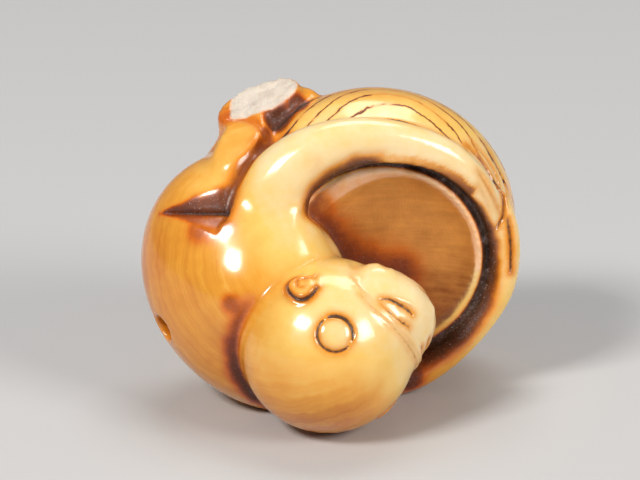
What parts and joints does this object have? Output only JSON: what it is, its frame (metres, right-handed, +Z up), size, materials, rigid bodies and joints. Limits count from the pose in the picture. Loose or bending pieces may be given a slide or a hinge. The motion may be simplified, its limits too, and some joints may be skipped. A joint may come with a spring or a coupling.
{
  "type": "netsuke",
  "caption": "Ivory netsuke of a crouching child with arms round a large wooden vessel, bent over its mouth, one foot broken off, lying as set down.",
  "frame": {"origin": "centre of the bounding box, at the level of the surface that the piece rests on", "axes": "+X is the viewer's right with the vessel's mouth in front, +Y is away from the viewer, +Z is up"},
  "size_m": [0.042, 0.0378, 0.0338],
  "materials": {
    "ivory": "hand-polished aged ivory, stained brown in the hollows"
  },
  "bodies": {
    "root": {"netsuke": "ivory"}
  },
  "joints": []
}
